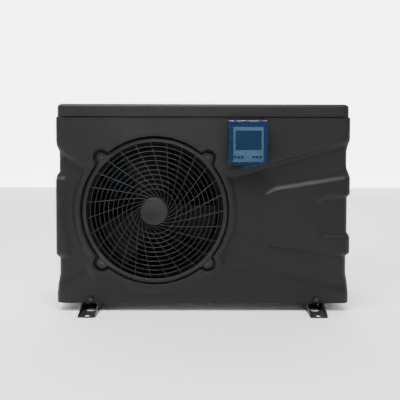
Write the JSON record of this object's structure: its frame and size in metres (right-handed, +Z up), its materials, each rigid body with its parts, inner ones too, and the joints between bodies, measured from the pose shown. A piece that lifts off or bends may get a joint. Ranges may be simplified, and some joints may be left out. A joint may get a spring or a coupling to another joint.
{
  "type": "heat pump unit",
  "caption": "Free-standing pool heat pump with a moulded sculpted case, a round fan grille, a hinged controller cover, foot rails and rear water unions.",
  "frame": {"origin": "on the floor under the middle of the unit", "axes": "+Z up, front face towards -Y, +X to the right seen from the front"},
  "size_m": [1, 0.43, 0.7],
  "materials": {
    "charcoal_plastic": "satin moulded, fine grain",
    "black_plastic": "satin",
    "black_steel": "powder coat",
    "grey_steel": "powder coat",
    "zinc_steel": "galvanised",
    "bright_steel": "machined",
    "fin_aluminium": "coated fins",
    "copper": "drawn tube",
    "brass_parts": "machined",
    "titanium": "drawn tube",
    "pale_plastic": "satin",
    "seal_rubber": "matt",
    "circuit_board": "solder mask",
    "red_paint": "gloss",
    "clear_lens": "clear",
    "navy_plastic": "gloss",
    "slate_plastic": "satin",
    "display_glass": "gloss",
    "key_rubber": "matt",
    "blue_clear": "tinted, clear"
  },
  "bodies": {
    "case": {"left_foot_rail": "black_steel", "right_foot_rail": "black_steel", "base_pan": "grey_steel", "front_panel": "charcoal_plastic", "left_side_panel": "charcoal_plastic", "right_side_panel": "charcoal_plastic", "rear_panel": "charcoal_plastic", "rear_coil_guard": "charcoal_plastic", "lid": "charcoal_plastic", "service_cover": "charcoal_plastic", "fan_grille": "black_plastic", "fan_shroud": "black_plastic", "fan_motor": "black_steel", "motor_bracket": "black_steel", "evaporator_fins": "fin_aluminium", "evaporator_tubes": "copper", "partition_plate": "zinc_steel", "compressor": "black_steel", "compressor_mounts": "seal_rubber", "suction_accumulator": "black_steel", "reversing_valve": "brass_parts", "discharge_pipe": "copper", "suction_pipe": "copper", "liquid_pipe": "copper", "gas_pipes": "copper", "filter_drier": "copper", "expansion_valve": "brass_parts", "exchanger_shell": "pale_plastic", "titanium_coil": "titanium", "union_tails": "pale_plastic", "union_seals": "seal_rubber", "electrical_box": "zinc_steel", "electrical_box_cover": "zinc_steel", "control_board": "circuit_board", "capacitors": "bright_steel", "terminal_block": "pale_plastic", "cable_glands": "black_plastic", "pressure_gauge": "bright_steel", "gauge_lens": "clear_lens", "drain_spigot": "black_plastic", "controller_housing": "navy_plastic", "controller_bezel": "slate_plastic", "lcd_window": "display_glass", "controller_board": "circuit_board", "cover_hinge_pin": "bright_steel", "case_screws": "black_steel", "hex_bolts": "bright_steel"},
    "fan": {"fan_impeller": "black_plastic", "fan_shaft": "bright_steel", "fan_nut": "bright_steel"},
    "cover": {"controller_cover": "blue_clear"},
    "inlet_nut": {"inlet_union_nut": "pale_plastic"},
    "outlet_nut": {"outlet_union_nut": "pale_plastic"},
    "needle": {"gauge_needle": "red_paint"},
    "key_1": {"button_1": "key_rubber"},
    "key_2": {"button_2": "key_rubber"},
    "key_3": {"button_3": "key_rubber"},
    "key_4": {"button_4": "key_rubber"},
    "key_5": {"button_5": "key_rubber"},
    "key_6": {"button_6": "key_rubber"}
  },
  "joints": [
    {"name": "fan_spin", "type": "hinge", "parent": "case", "child": "fan", "pos_m": [-0.162, -0.09, 0.342], "axis": [0, 1, 0], "continuous": true},
    {"name": "cover_hinge", "type": "hinge", "parent": "case", "child": "cover", "pos_m": [0.148, -0.172, 0.642], "axis": [-1, 0, 0], "range_deg": [0, 95]},
    {"name": "inlet_nut_turn", "type": "hinge", "parent": "case", "child": "inlet_nut", "pos_m": [0.395, 0.18, 0.15], "axis": [0, 1, 0], "continuous": true},
    {"name": "outlet_nut_turn", "type": "hinge", "parent": "case", "child": "outlet_nut", "pos_m": [0.395, 0.18, 0.43], "axis": [0, 1, 0], "continuous": true},
    {"name": "gauge_pointer", "type": "hinge", "parent": "case", "child": "needle", "pos_m": [0.19, 0.169, 0.56], "axis": [0, -1, 0], "range_deg": [0, 270]},
    {"name": "key_1_press", "type": "slide", "parent": "case", "child": "key_1", "axis": [0, 1, 0], "range_m": [0, 0.001], "stiffness_N_per_m": 300},
    {"name": "key_2_press", "type": "slide", "parent": "case", "child": "key_2", "axis": [0, 1, 0], "range_m": [0, 0.001], "stiffness_N_per_m": 300},
    {"name": "key_3_press", "type": "slide", "parent": "case", "child": "key_3", "axis": [0, 1, 0], "range_m": [0, 0.001], "stiffness_N_per_m": 300},
    {"name": "key_4_press", "type": "slide", "parent": "case", "child": "key_4", "axis": [0, 1, 0], "range_m": [0, 0.001], "stiffness_N_per_m": 300},
    {"name": "key_5_press", "type": "slide", "parent": "case", "child": "key_5", "axis": [0, 1, 0], "range_m": [0, 0.001], "stiffness_N_per_m": 300},
    {"name": "key_6_press", "type": "slide", "parent": "case", "child": "key_6", "axis": [0, 1, 0], "range_m": [0, 0.001], "stiffness_N_per_m": 300}
  ]
}
